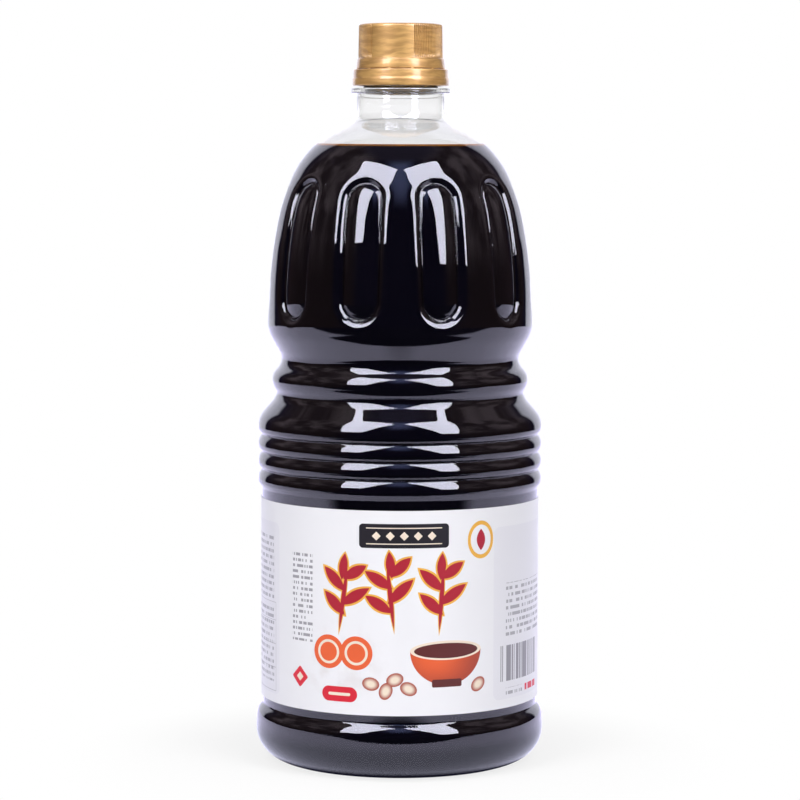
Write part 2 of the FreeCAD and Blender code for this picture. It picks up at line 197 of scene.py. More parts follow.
@dataclass(frozen=True)
class Outline:
    """Outline of a turned form, drawn upwards on the outside, with rounded corners.

    A rounding's steps are at most turn degrees and step millimetres long.
    """

    corners: tuple[Corner, ...]
    turn: float = 9.0
    step: float = 1.1

    def points(self, inset: float = 0.0) -> list[Vector]:
        """Points along the rounded outline.

        Args:
            inset: Distance by which the outline lies inside its corners' own line.

        Returns:
            Radius and height of each point.
        """
        made: list[Vector] = []
        places = [corner.place for corner in self.corners]
        for number, corner in enumerate(self.corners):
            before = places[number] - places[number - 1] if number else None
            after = places[number + 1] - places[number] if number + 1 < len(places) else None
            made += self._corner(corner, before or after, after or before, inset)
        return made

    def _corner(self, corner: Corner, before: Vector, after: Vector, inset: float) -> list[Vector]:
        """Points of one corner's rounding, or the corner itself if it is sharp."""
        before, after = before.normalized(), after.normalized()
        bend = before.angle_signed(after)
        side = 1.0 if bend < 0.0 else -1.0
        bend = abs(bend)
        if corner.rounding == 0.0 or bend < 1e-6:
            outward = Vector((before.y + after.y, -before.x - after.x)).normalized()
            return [corner.place - outward * inset / math.cos(bend / 2)]
        start = corner.place - before * corner.rounding * math.tan(bend / 2)
        centre = start + Vector((-before.y, before.x)) * side * corner.rounding
        longest = min(math.radians(self.turn), self.step / corner.rounding)
        count = max(math.ceil(bend / longest), 2)
        radius = corner.rounding - side * inset
        made = []
        for number in range(count + 1):
            spoke = Vector((before.y, -before.x)) * side
            spoke.rotate(Matrix.Rotation(side * bend * number / count, 2))
            made.append(centre + spoke * radius)
        return made


def divided(points: Sequence[Vector], low: float, high: float, step: float) -> list[Vector]:
    """Outline whose straight runs between two heights are divided into short steps."""
    made = [points[0]]
    for here, there in pairwise(points):
        within = low < (here.y + there.y) / 2 < high
        count = math.ceil((there - here).length / step) if within else 1
        made += [here.lerp(there, number / count) for number in range(1, count + 1)]
    return made


def radius_at(points: Sequence[Vector], height: float) -> float:
    """Outer radius of an upward outline at a height."""
    for here, there in reversed(list(pairwise(points))):
        if here.y <= height <= there.y:
            return here.lerp(there, (height - here.y) / max(there.y - here.y, 1e-9)).x
    raise ValueError(f"the outline has no point at height {height}")


# Node trees


class Tree:
    """Node tree of a material or the world, written as nested calls."""

    def __init__(self, owner: bpy.types.Material | bpy.types.World) -> None:
        """Empties the owner's node tree and starts a new one."""
        owner.use_nodes = True
        self.tree = owner.node_tree
        self.tree.nodes.clear()

    def node(
        self, kind: str, inputs: dict[str | int, Link] | None = None, **settings: object
    ) -> bpy.types.Node:
        """Adds a node.

        Args:
            kind: The node's type.
            inputs: A socket to link or a value to set, for each named or numbered input.
            **settings: The node's own settings.

        Returns:
            The new node.
        """
        made = self.tree.nodes.new(kind)
        for key, value in settings.items():
            setattr(made, key, value)
        for key, value in (inputs or {}).items():
            if isinstance(value, Socket):
                self.tree.links.new(value, made.inputs[key])
            elif isinstance(value, tuple) and made.inputs[key].type == "RGBA":
                made.inputs[key].default_value = (*value, 1.0)
            else:
                made.inputs[key].default_value = value
        return made

    def math(self, operation: str, *values: Link) -> Socket:
        """Result of a Math node."""
        return self.node("ShaderNodeMath", dict(enumerate(values)), operation=operation).outputs[0]

    def vector(self, operation: str, *values: Link) -> Socket:
        """Result of a Vector Math node, which is a number for a length."""
        made = self.node("ShaderNodeVectorMath", dict(enumerate(values)), operation=operation)
        return made.outputs[1 if operation == "LENGTH" else 0]

    def parts(self, vector: Link) -> tuple[Socket, ...]:
        """The three parts of a vector."""
        return tuple(self.node("ShaderNodeSeparateXYZ", {0: vector}).outputs)

    def joined(self, x: Link, y: Link, z: Link = 0.0) -> Socket:
        """A vector of three numbers."""
        return self.node("ShaderNodeCombineXYZ", {0: x, 1: y, 2: z}).outputs[0]

    def ramp(self, value: Link, low: float, high: float) -> Socket:
        """Smooth step from 0 at one value to 1 at the other."""
        inputs = {"Value": value, "From Min": low, "From Max": high}
        return self.node("ShaderNodeMapRange", inputs, interpolation_type="SMOOTHSTEP").outputs[0]

    def mix(self, share: Link, first: Link, second: Link) -> Socket:
        """Mix of two colours, all the second where the share is 1."""
        inputs = {0: share, 6: first, 7: second}
        return self.node("ShaderNodeMix", inputs, data_type="RGBA").outputs[2]

    def blend(self, share: Link, first: Socket, second: Socket) -> Socket:
        """Blend of two shaders, all the second where the share is 1."""
        return self.node("ShaderNodeMixShader", {0: share, 1: first, 2: second}).outputs[0]

    def seen(self) -> Socket:
        """1 for what the eye meets, straight or through the clear plastic."""
        path = self.node("ShaderNodeLightPath").outputs
        through = self.math("MINIMUM", path["Transmission Depth"], 1.0)
        return self.math("MAXIMUM", path["Is Camera Ray"], through)

    def mirrored(self) -> Socket:
        """1 for what a glossy surface mirrors."""
        return self.node("ShaderNodeLightPath").outputs["Is Glossy Ray"]

    def glow(self, colour: Link) -> Socket:
        """Emission shader that shows as bright as its colour."""
        return self.node("ShaderNodeEmission", {0: colour, 1: 1.0}).outputs[0]

    def noise(self, place: Link, scale: float, detail: float = 2.0) -> Socket:
        """Value of a noise texture."""
        inputs = {"Vector": place, "Scale": scale, "Detail": detail}
        return self.node("ShaderNodeTexNoise", inputs).outputs[0]

    def object_place(self) -> Socket:
        """Place on the object, in metres."""
        return self.node("ShaderNodeTexCoord").outputs["Object"]

    def bump(self, height: Link, strength: float, distance: float) -> Socket:
        """Normal bent by a height."""
        inputs = {"Height": height, "Strength": strength, "Distance": distance}
        return self.node("ShaderNodeBump", inputs).outputs[0]

    def surface(self, inputs: dict[str, Link]) -> None:
        """Ends a material with one Principled surface."""
        shader = self.node("ShaderNodeBsdfPrincipled", inputs)
        self.node("ShaderNodeOutputMaterial", {0: shader.outputs[0]})


# Finishes


@dataclass(frozen=True)
class ClearPlastic:
    """Glossy clear blown plastic."""

    name: str = "clear_blown_plastic"
    tint: Colour = (0.985, 0.985, 0.99)
    refraction: float = 1.575
    roughness: float = 0.012

    def material(self) -> bpy.types.Material:
        """Makes the clear wall, with the slight unevenness that blowing leaves."""
        made = bpy.data.materials.new(self.name)
        tree = Tree(made)
        place = tree.object_place()
        waves = tree.noise(tree.vector("MULTIPLY", place, (1.0, 1.0, 0.6)), 60.0, 1.0)
        tree.surface(
            {
                "Base Color": self.tint,
                "Roughness": self.roughness,
                "IOR": self.refraction,
                "Transmission Weight": 1.0,
                "Normal": tree.bump(waves, 0.12, 0.1 * MM),
            }
        )
        return made


@dataclass(frozen=True)
class DarkSauce:
    """Nearly black liquid that turns amber only in the thin rim at its level."""

    level: float
    edge: float
    name: str = "dark_soy_sauce"
    deep: Colour = (0.0011, 0.0009, 0.0013)
    # Amber of the rim: the thin sauce's own colour together with painted light shining through it.
    amber: Colour = (0.21, 0.085, 0.014)

    def material(self) -> bpy.types.Material:
        """Makes the liquid, with no gloss of its own where the clear wall covers it."""
        made = bpy.data.materials.new(self.name)
        tree = Tree(made)
        place = tree.object_place()
        x, y, height = tree.parts(place)
        # Rim at the level and near the wall: the thin sauce's amber together with painted light shining
        # through it.
        rim = tree.ramp(height, (self.level - 0.45) * MM, (self.level + 0.05) * MM)
        out = tree.vector("LENGTH", tree.joined(x, y))
        rim = tree.math("MULTIPLY", rim, tree.ramp(out, (self.edge - 2.5) * MM, (self.edge - 0.8) * MM))
        cloud = tree.ramp(tree.noise(place, 35.0), 0.35, 0.7)
        body = tree.mix(cloud, self.deep, tuple(1.6 * part for part in self.deep))
        tree.surface(
            {
                "Base Color": tree.mix(rim, body, self.amber),
                "Roughness": 0.6,
                "Specular IOR Level": 0.0,
            }
        )
        return made


@dataclass(frozen=True)
class PearlGold:
    """Pearly gold plastic with faint flow marks from its moulding."""

    name: str = "pearl_gold_plastic"
    light: Colour = (0.58, 0.34, 0.105)
    deep: Colour = (0.38, 0.205, 0.058)

    def material(self) -> bpy.types.Material:
        """Makes the gold, with streaks round the part and a satin coat."""
        made = bpy.data.materials.new(self.name)
        tree = Tree(made)
        place = tree.object_place()
        curl = tree.noise(tree.vector("MULTIPLY", place, (1.0, 1.0, 2.0)), 110.0, 3.0)
        lifted = tree.joined(0.0, 0.0, tree.math("MULTIPLY", curl, 0.02))
        bent = tree.vector("ADD", tree.vector("MULTIPLY", place, (1.0, 1.0, 7.0)), lifted)
        streaks = tree.ramp(tree.noise(bent, 130.0, 4.0), 0.32, 0.72)
        grain = tree.noise(place, 5200.0, 1.0)
        tree.surface(
            {
                "Base Color": tree.mix(streaks, self.deep, self.light),
                "Metallic": 0.35,
                "Roughness": 0.42,
                "Coat Weight": 0.8,
                "Coat Roughness": 0.12,
                "Coat IOR": 1.4,
                "Normal": tree.bump(grain, 0.1, 0.02 * MM),
            }
        )
        return made


class Ink(Enum):
    """Inks and papers of the label."""

    FILM = (0.83, 0.825, 0.87)
    PANEL = (0.76, 0.75, 0.82)
    BLACK = (0.012, 0.010, 0.014)
    CRIMSON = (0.40, 0.012, 0.030)
    RED = (0.66, 0.016, 0.035)
    GOLD = (0.80, 0.42, 0.06)
    ORANGE = (0.78, 0.12, 0.035)
    RUSSET = (0.36, 0.055, 0.030)
    UMBER = (0.10, 0.020, 0.018)
    CREAM = (0.84, 0.72, 0.60)
    MIST = (0.70, 0.66, 0.68)
    GREY = (0.16, 0.15, 0.18)


class Print:
    """Layers of flat shapes on the label, laid out in millimetres.

    Across is measured round the label from the middle of its front, to the right, and up from its
    lower edge.
    """

    def __init__(self, tree: Tree, place: Socket, paper: Ink) -> None:
        """Starts with the bare paper."""
        self.tree = tree
        self.place = place
        self.colour: Link = paper.value

    def lay(self, mask: Link, ink: Ink | Link, share: float = 1.0) -> None:
        """Prints one ink over what is there, wherever the mask is 1."""
        colour = ink.value if isinstance(ink, Ink) else ink
        mask = self.tree.math("MULTIPLY", mask, share) if share < 1.0 else mask
        self.colour = self.tree.mix(mask, self.colour, colour)

    def moved(self, centre: Pair, turn: float = 0.0, scale: Pair = (1.0, 1.0)) -> Socket:
        """Place relative to a shape's centre, turned and scaled to it."""
        inputs = {
            "Vector": self.place,
            "Location": (*centre, 0.0),
            "Rotation": (0.0, 0.0, math.radians(turn)),
            "Scale": (*scale, 1.0),
        }
        return self.tree.node("ShaderNodeMapping", inputs, vector_type="TEXTURE").outputs[0]

    def slab(self, centre: Pair, half: Pair, rounding: float = 0.0, turn: float = 0.0) -> Socket:
        """Distance outside a rectangle with rounded corners, in millimetres."""
        sized = tuple(max(side - rounding, 0.0) for side in half)
        folded = self.tree.vector("ABSOLUTE", self.moved(centre, turn))
        past = self.tree.vector("SUBTRACT", folded, (*sized, 0.0))
        beyond = self.tree.vector("MAXIMUM", past, (0.0, 0.0, 0.0))
        return self.tree.math("SUBTRACT", self.tree.vector("LENGTH", beyond), max(rounding, 0.01))

    def oval(self, centre: Pair, half: Pair, turn: float = 0.0) -> Socket:
        """Distance from an oval's centre, 1 at its edge."""
        return self.tree.vector("LENGTH", self.moved(centre, turn, half))

    def hoop(self, centre: Pair, half: Pair) -> Socket:
        """Distance from an oval's edge, 0 on it."""
        return self.tree.math("ABSOLUTE", self.tree.math("SUBTRACT", self.oval(centre, half), 1.0))

    def leaf(self, centre: Pair, half: Pair, turn: float) -> Socket:
        """Field of a pointed leaf, 1 at its edge."""
        x, y, _ = self.tree.parts(self.moved(centre, turn, half))
        return self.tree.math("MULTIPLY_ADD", x, x, self.tree.math("ABSOLUTE", y))

    def under(self, field_value: Link, limit: float = 0.0) -> Socket:
        """1 where a field is less than a limit."""
        return self.tree.math("LESS_THAN", field_value, limit)

    def least(self, fields: Sequence[Link]) -> Link:
        """The least of several fields, which joins their shapes."""
        found = fields[0]
        for other in fields[1:]:
            found = self.tree.math("MINIMUM", found, other)
        return found

    def both(self, first: Link, second: Link) -> Socket:
        """1 where both masks are."""
        return self.tree.math("MULTIPLY", first, second)

    def dashes(self, row: float, cell: float, fill: float) -> Socket:
        """Rows of short dashes of chance lengths."""
        x, y, _ = self.tree.parts(self.place)
        line = self.tree.math("DIVIDE", y, row)
        step = self.tree.math("FLOOR", self.tree.math("DIVIDE", x, cell))
        cells = self.tree.joined(step, self.tree.math("FLOOR", line))
        chance = self.tree.node("ShaderNodeTexWhiteNoise", {"Vector": cells}, noise_dimensions="2D")
        inked = self.tree.math("LESS_THAN", chance.outputs[0], fill)
        return self.both(inked, self.tree.math("LESS_THAN", self.tree.math("FRACT", line), 0.5))

    def stripes(self, cell: float) -> Socket:
        """Upright stripes of chance widths."""
        x = self.tree.parts(self.place)[0]
        step = self.tree.math("FLOOR", self.tree.math("DIVIDE", x, cell))
        chance = self.tree.node("ShaderNodeTexWhiteNoise", {"W": step}, noise_dimensions="1D")
        return self.tree.math("LESS_THAN", chance.outputs[0], 0.5)


@dataclass(frozen=True)
class PrintedFilm:
    """Satin label film with a plain design of leaves, beans and a dish."""

    radius: float
    low: float
    name: str = "printed_label_film"
    sprigs: tuple[tuple[float, ...], ...] = ((-19.0, 40.0, -8.0), (-3.0, 41.0, 6.0), (14.0, 40.3, -4.0))

    def material(self) -> bpy.types.Material:
        """Makes the film and its print."""
        made = bpy.data.materials.new(self.name)
        tree = Tree(made)
        x, y, z = tree.parts(tree.object_place())
        across = tree.math("MULTIPLY", tree.math("ARCTAN2", x, tree.math("MULTIPLY", y, -1.0)), self.radius)
        up = tree.math("MULTIPLY_ADD", z, 1.0 / MM, -self.low)
        sheet = Print(tree, tree.joined(across, up), Ink.FILM)
        self._backdrop(sheet)
        self._side_panels(sheet)
        self._plate(sheet)
        self._leaves(sheet)
        self._dish(sheet)
        self._tokens(sheet)
        tree.surface({"Base Color": sheet.colour, "Roughness": 0.42, "Specular IOR Level": 0.3})
        return made

    def _backdrop(self, sheet: Print) -> None:
        """Faint mist behind the left of the design."""
        tree = sheet.tree
        cloud = tree.ramp(tree.noise(sheet.place, 0.16, 4.0), 0.42, 0.66)
        hill = tree.ramp(sheet.oval((-20, 17), (20, 17)), 1.0, 0.35)
        sheet.lay(sheet.both(cloud, hill), Ink.MIST, 0.5)

    def _side_panels(self, sheet: Print) -> None:
        """Pale panels at both sides, with rows of dashes, a ruled table and a striped block."""
        panels = ((-79.0, 31.0), (65.0, 31.0), (-140.0, 22.0), (140.0, 22.0))
        for middle, half in panels:
            sheet.lay(sheet.under(sheet.slab((middle, 32), (half, 29), 2.5)), Ink.PANEL, 0.6)
        blocks = (
            ((-79, 46), (27, 11)),
            ((-66, 20), (14, 13)),
            ((54, 33), (14, 9)),
            ((86, 40), (8, 18)),
            ((45, 5.5), (5, 1.2)),
        )
        filled = sheet.under(sheet.least([sheet.slab(centre, half) for centre, half in blocks]))
        sheet.lay(sheet.both(filled, sheet.dashes(2.2, 0.55, 0.62)), Ink.GREY, 0.62)
        table = sheet.least([sheet.slab((-66, height), (15.5, 0.09)) for height in (4, 12, 20, 28, 34)])
        sides = sheet.least([sheet.slab((side, 19), (0.09, 15)) for side in (-81.5, -66, -50.5)])
        sheet.lay(sheet.under(sheet.least([table, sides])), Ink.GREY, 0.5)
        block = sheet.under(sheet.slab((50, 15), (13, 6)))
        sheet.lay(sheet.both(block, sheet.stripes(0.42)), Ink.GREY, 0.8)
        tab = sheet.under(sheet.slab((57, 5.5), (5.5, 1.6)))
        sheet.lay(sheet.both(tab, sheet.dashes(4.4, 0.8, 0.7)), Ink.RED)

    def _plate(self, sheet: Print) -> None:
        """Dark plate with a row of cream lozenges between two rules."""
        sheet.lay(sheet.under(sheet.slab((1.5, 59.5), (15.0, 4.0), 1.3)), Ink.BLACK)
        steps = (-2, -1, 0, 1, 2)
        lozenges = [sheet.slab((1.5 + 4.6 * step, 59.5), (1.05, 1.05), 0.2, 45.0) for step in steps]
        rules = [sheet.slab((1.5, 59.5 + side), (12.6, 0.16)) for side in (-2.6, 2.6)]
        sheet.lay(sheet.under(sheet.least([*lozenges, *rules])), Ink.CREAM)

    def _leaves(self, sheet: Print) -> None:
        """Three crimson sprigs, each leaf edged in gold."""
        fields = []
        for across, up, tilt in self.sprigs:
            for side, rise, reach in ((-1, -6.5, 5.4), (1, -3.0, 6.0), (-1, 1.5, 5.6), (1, 5.0, 4.8)):
                angle = 90.0 - side * 52.0 + tilt
                away = math.radians(angle)
                centre = (across + 4.6 * math.cos(away), up + rise + 4.6 * math.sin(away))
                fields.append(sheet.leaf(centre, (reach, 1.9), angle))
            fields.append(sheet.leaf((across, up + 9.0), (4.6, 1.6), 90.0 + tilt))
            fields.append(sheet.leaf((across, up - 1.5), (11.0, 0.8), 90.0 + tilt))
        leaves = sheet.least(fields)
        sheet.lay(sheet.under(leaves, 1.3), Ink.GOLD)
        sheet.lay(sheet.under(leaves, 0.95), Ink.CRIMSON)

    def _dish(self, sheet: Print) -> None:
        """Russet dish of sauce at the lower right, with beans lying by it."""
        tree = sheet.tree
        bowl = sheet.under(sheet.oval((16, 21.5), (12.5, 11.5)), 1.0)
        below = sheet.under(tree.math("SUBTRACT", tree.parts(sheet.place)[1], 21.5))
        shade = tree.ramp(sheet.oval((12, 20), (17, 13)), 0.1, 1.0)
        sheet.lay(sheet.both(bowl, below), tree.mix(shade, Ink.ORANGE.value, Ink.RUSSET.value))
        sheet.lay(sheet.under(sheet.slab((16, 10.6), (5.2, 1.3), 0.6)), Ink.UMBER)
        sheet.lay(sheet.under(sheet.oval((16, 21.5), (12.5, 3.2)), 1.0), Ink.CREAM)
        sheet.lay(sheet.under(sheet.oval((16, 21.4), (11.2, 2.5)), 1.0), Ink.UMBER)
        beans = ((-1.5, 12.0, 20), (3.0, 9.0, -25), (-4.5, 8.2, 70), (27.5, 9.5, 35), (-9.5, 10.5, -10))
        hulls = sheet.least([sheet.oval((u, v), (2.9, 2.2), turn) for u, v, turn in beans])
        hull = tree.mix(tree.ramp(hulls, 0.3, 1.0), Ink.CREAM.value, Ink.RUSSET.value)
        sheet.lay(sheet.under(hulls, 1.0), hull)

    def _tokens(self, sheet: Print) -> None:
        """Discs, pill, hoop and lozenge in the label's warm colours."""
        middles = ((-24.5, 20.5), (-14.5, 20.5))
        discs = sheet.least([sheet.oval(middle, (5.6, 5.6)) for middle in middles])
        sheet.lay(sheet.under(discs, 1.0), Ink.ORANGE)
        rings = [sheet.hoop(middle, (3.6, 3.6)) for middle in middles]
        sheet.lay(sheet.under(sheet.least(rings), 0.12), Ink.CREAM)
        sheet.lay(sheet.under(sheet.slab((-20.5, 6.6), (6.4, 2.5), 2.5)), Ink.RED)
        sheet.lay(sheet.under(sheet.slab((-20.5, 6.6), (4.0, 0.5), 0.5)), Ink.CREAM)
        sheet.lay(sheet.under(sheet.hoop((28.5, 57.5), (4.6, 5.6)), 0.12), Ink.GOLD)
        sheet.lay(sheet.under(sheet.leaf((28.5, 57.5), (3.6, 1.7), 90.0), 1.0), Ink.CRIMSON)
        sheet.lay(sheet.under(sheet.slab((-36.5, 11.0), (2.6, 2.6), 0.5, 45.0)), Ink.RED)
        sheet.lay(sheet.under(sheet.slab((-36.5, 11.0), (1.1, 1.1), 0.2, 45.0)), Ink.CREAM)
        column = sheet.under(sheet.slab((-35.5, 38.0), (4.6, 15.0)))
        sheet.lay(sheet.both(column, sheet.dashes(1.9, 0.5, 0.6)), Ink.GREY, 0.75)


# Sub-assemblies


@dataclass(frozen=True)
class FingerGrips:
    """Round-ended recesses pressed into the dome, evenly spaced between lands.

    A grip's middle is at its height, on a flat that is root away from the axis and leans in at the top
    by the lean, and the edge widens outwards by the draft. The wall is listed as distances beyond that
    edge with the steepness there: a wide round lip, a steep run down to a tight crease, and a floor
    that rises again to a full middle.
    """

    count: int = 10
    depth: float = 1.6
    height: float = 174.4
    root: float = 37.5
    half_length: float = 17.1
    half_width: float = 6.3
    lean: float = 8.0
    draft: float = 12.0
    wall: tuple[tuple[float, float], ...] = (
        (2.1, 0.0),
        (0.1, 0.40),
        (-0.35, 1.05),
        (-0.9, 1.10),
        (-1.45, -0.62),
        (-2.0, -0.38),
        (-2.6, -0.25),
        (-3.4, -0.15),
        (-4.4, -0.09),
        (-7.9, 0.0),
    )
    low: float = 143.0
    high: float = 206.0

    def beyond_edge(self, places: np.ndarray, inset: float) -> np.ndarray:
        """How far places on the plain dome lie outside the nearest grip's edge.

        Args:
            places: Places in millimetres, one row each.
            inset: How far those places lie under the dome's outer surface.

        Returns:
            The distances in millimetres, less than 0 inside a grip.
        """
        step = 2 * math.pi / self.count
        azimuth = np.arctan2(places[:, 0], -places[:, 1]) % step - step / 2
        reach = np.hypot(places[:, 0], places[:, 1]) + inset
        lean = math.radians(self.lean)
        out = reach * np.cos(azimuth) - self.root
        up = places[:, 2] - self.height
        deep = out * math.cos(lean) + up * math.sin(lean)
        along = np.abs(up * math.cos(lean) - out * math.sin(lean))
        past = np.maximum(along - self.half_length, 0.0)
        width = self.half_width + deep * math.tan(math.radians(self.draft))
        return np.hypot(reach * np.sin(azimuth), past) - width

    def refine(
        self, piece: Piece, inset: float, cuts: int, out: float = 2.6, back: float = -2.4
    ) -> None:
        """Divides the faces round each grip's edge.

        Args:
            piece: Plain turned surface, in object mode.
            inset: How far it lies under the outer surface.
            cuts: Number of cuts across each face.
            out: How far outside the edge the divided faces reach.
            back: How far inside the edge they reach, as a distance less than 0.
        """
        select_only(piece)
        bpy.ops.object.mode_set(mode="EDIT")
        bpy.ops.mesh.select_mode(type="FACE")
        bpy.ops.mesh.select_all(action="DESELECT")
        bpy.ops.object.mode_set(mode="OBJECT")
        faces = piece.data.polygons
        middles = np.empty(3 * len(faces))
        faces.foreach_get("center", middles)
        middles = middles.reshape(-1, 3) / MM
        beyond = self.beyond_edge(middles, inset)
        near = (beyond > back) & (beyond < out)
        near &= (middles[:, 2] > self.low) & (middles[:, 2] < self.high)
        faces.foreach_set("select", near)
        bpy.ops.object.mode_set(mode="EDIT")
        bpy.ops.mesh.subdivide(number_cuts=cuts)
        bpy.ops.object.mode_set(mode="OBJECT")

    def press(self, piece: Piece, inset: float) -> None:
        """Presses every grip into a surface, following the steepness of its wall."""
        places = coordinates(piece)
        beyond, steep = np.array(self.wall).T
        way = np.linspace(beyond[0], beyond[-1], 400)
        fall = np.cumsum(np.interp(-way, -beyond, steep))
        share = np.interp(-self.beyond_edge(places, inset), -way, fall / fall.max())
        share[(places[:, 2] < self.low) | (places[:, 2] > self.high)] = 0.0
        push(piece, "grips", share, -self.depth)


def ribbed(belt: float, groove: float, lowest: float, pitch: float, count: int) -> list[Corner]:
    """Corners of a belt's grooves, from the lowest up, each steeper above than below.

    Args:
        belt: Radius of the belt between its grooves.
        groove: Radius of the corner at a groove's middle.
        lowest: Height of the lowest groove.
        pitch: Spacing of the grooves.
        count: Number of grooves.

    Returns:
        Three corners for each groove.
    """
    corners = []
    for number in range(count):
        middle = lowest + pitch * number
        corners += [
            Corner(belt, middle - 1.8, 5.3),
            Corner(groove, middle, 0.45),
            Corner(belt, middle + 1.1, 2.4),
        ]
    return corners


@dataclass
class Bottle:
    """Clear blown bottle: dished foot, label panel, ribbed belt, waist, gripped dome and neck."""

    wall: float = 1.0
    columns: int = 132
    grips: FingerGrips = field(default_factory=FingerGrips)
    finish: ClearPlastic = field(default_factory=ClearPlastic)

    @property
    def body(self) -> list[Corner]:
        """Corners of the blown body, from the middle of the dish up to the neck's root."""
        return [
            Corner(0.0, 9.0),
            Corner(12.0, 9.0, 10.0),
            Corner(34.5, 0.0, 1.5),
            Corner(49.02, 0.0, 11.02),
            Corner(49.02, 17.0, 5.4),
            Corner(46.75, 19.4, 1.2),
            Corner(47.1, 24.5, 4.0),
            Corner(47.2, 93.2, 0.8),
            Corner(48.4, 95.2, 1.6),
            *ribbed(48.4, 47.1, 99.7, 5.95, 3),
            Corner(48.4, 117.1, 8.0),
            Corner(42.7, 123.6, 5.6),
            Corner(42.0, 125.6, 2.0),
            Corner(44.9, 130.5, 5.4),
            Corner(39.5, 136.4, 4.2),
            Corner(45.1, 146.2, 11.0),
            Corner(45.1, 169.5, 150.0),
            Corner(40.3, 192.1, 49.0),
            Corner(30.75, 210.5, 34.0),
            Corner(14.75, 217.95, 4.5),
        ]

    @property
    def neck(self) -> list[Corner]:
        """Corners of the neck, its support ring and the finish under the cap."""
        return [
            Corner(14.75, 226.7, 0.3),
            Corner(16.8, 226.7, 0.45),
            Corner(16.8, 228.4, 0.45),
            Corner(12.6, 228.4, 0.5),
            Corner(12.6, 248.0, 0.4),
            Corner(11.6, 248.0),
        ]

    @property
    def bore(self) -> list[Corner]:
        """Corners of the neck's inside, the wall's thickness out from it, with a shelf at the ring."""
        return [
            Corner(14.75, 217.95, 4.5),
            Corner(14.75, 229.05, 1.25),
            Corner(12.6, 229.05, 0.1),
            Corner(12.6, 248.0),
        ]

    def surface(
        self, inset: float, step: float = 1.1, top: Sequence[Corner] = (), turn: float = 9.0
    ) -> list[Vector]:
        """Outline of the body's surface, or of one at an even depth under it.

        Args:
            inset: Depth under the outer surface.
            step: Longest step along a rounding and up the dome.
            top: Corners that take the place of the neck's root, if any.
            turn: Largest turn of a rounding's step, in degrees.

        Returns:
            Radius and height of each point.
        """
        corners = (*self.body[:-1], *top) if top else self.body
        outline = Outline(tuple(corners), turn, step).points(inset)
        return divided(outline, self.grips.low, self.grips.high, step)

    def build(self) -> Piece:
        """Makes the whole clear wall and puts it on the frame."""
        step = 1.5
        outer = Outline((*self.body, *self.neck), 12.0, step).points()
        outer = divided(outer, self.grips.low, self.grips.high, step)
        outside = turned("bottle_shell", outer, self.columns)
        clean_up(outside)
        self.grips.refine(outside, 0.0, 2, 2.2, -2.2)
        self.grips.refine(outside, 0.0, 1, 0.15, -1.75)
        self._round_out(outside)
        self.grips.press(outside, 0.0)
        inside = turned("bottle_inside", self.surface(self.wall, 3.5, self.bore, 18.0), self.columns)
        clean_up(inside)
        self.grips.refine(inside, self.wall, 1, 1.2, -1.8)
        self.grips.press(inside, self.wall)
        clean_up(inside, inside=True)
        shell = join([outside, inside])
        weld(shell)
        bpy.ops.object.mode_set(mode="OBJECT")
        bpy.ops.object.shade_smooth()
        shell.data.materials.append(self.finish.material())
        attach(shell, "root")
        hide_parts("bottle")
        return shell

    def _round_out(self, outside: Piece) -> None:
        """Lays the divided faces of the dome back on its true curve."""
        low, high = self.grips.low - 1.0, self.grips.high + 1.0
        fine = [point for point in self.surface(0.0, 0.3) if low < point.y < high]
        form = turned("dome_form", fine, 720)
        heights = coordinates(outside)[:, 2]
        weigh(outside, "dome", ((heights > low + 0.5) & (heights < high - 0.5)).astype(float))
        nearest = "NEAREST_SURFACEPOINT"
        apply_modifier(outside, "SHRINKWRAP", target=form, wrap_method=nearest, vertex_group="dome")
        bpy.data.objects.remove(form)


@dataclass
class Sauce:
    """Sauce that fills the bottle, reaching just into its wall, with a thin rim at its level."""

    bottle: Bottle
    level: float = 209.0
    inset: float = 0.7
    climb: float = 0.3
    columns: int = 180

    def build(self) -> Piece:
        """Makes the body of sauce and puts it on the frame."""
        wall = self.bottle.surface(self.inset, 1.6)
        sides = [point for point in wall if point.y < self.level]
        edge = radius_at(wall, self.level + self.climb)
        rim = ((0.0, 1.0), (0.35, 0.62), (0.9, 0.3), (2.0, 0.08), (3.6, 0.0), (edge, 0.0))
        top = [Vector((edge - back, self.level + share * self.climb)) for back, share in rim]
        piece = turned("sauce_body", [*sides, *top], self.columns)
        clean_up(piece)
        self.bottle.grips.refine(piece, self.inset, 1)
        self.bottle.grips.press(piece, self.inset)
        piece.data.materials.append(DarkSauce(self.level, edge).material())
        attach(piece, "root")
        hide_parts("soy_sauce")
        return piece


@dataclass
class Label:
    """Film wrapped round the panel, with its ends overlapping at the back."""

    radius: float = 47.33
    low: float = 22.3
    high: float = 90.1
    thick: float = 0.1
    overlap: float = 10.0
    lift_start: float = 352.0
    lift_turn: float = 6.0
    lift: float = 0.13
    columns: int = 185

    def build(self) -> Piece:
        """Makes the sleeve and puts it on the frame."""
        edge = [Vector((self.radius, self.low)), Vector((self.radius, self.high))]
        sweep = 360.0 + self.overlap
        piece = turned("label_sleeve", divided(edge, self.low, self.high, 6.0), self.columns, sweep)
        rows = len(piece.data.vertices) // (self.columns + 1)
        angle = np.arange(len(piece.data.vertices)) // rows * sweep / self.columns
        weigh(piece, "overlap", np.clip((angle - self.lift_start) / self.lift_turn, 0.0, 1.0))
        clean_up(piece)
        apply_modifier(piece, "DISPLACE", strength=self.lift * MM, mid_level=0.0, vertex_group="overlap")
        apply_modifier(piece, "SOLIDIFY", thickness=self.thick * MM, offset=-1.0)
        bpy.ops.object.shade_smooth_by_angle(angle=math.radians(35))
        piece.data.materials.append(PrintedFilm(self.radius, self.low).material())
        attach(piece, "root")
        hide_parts("label")
        return piece


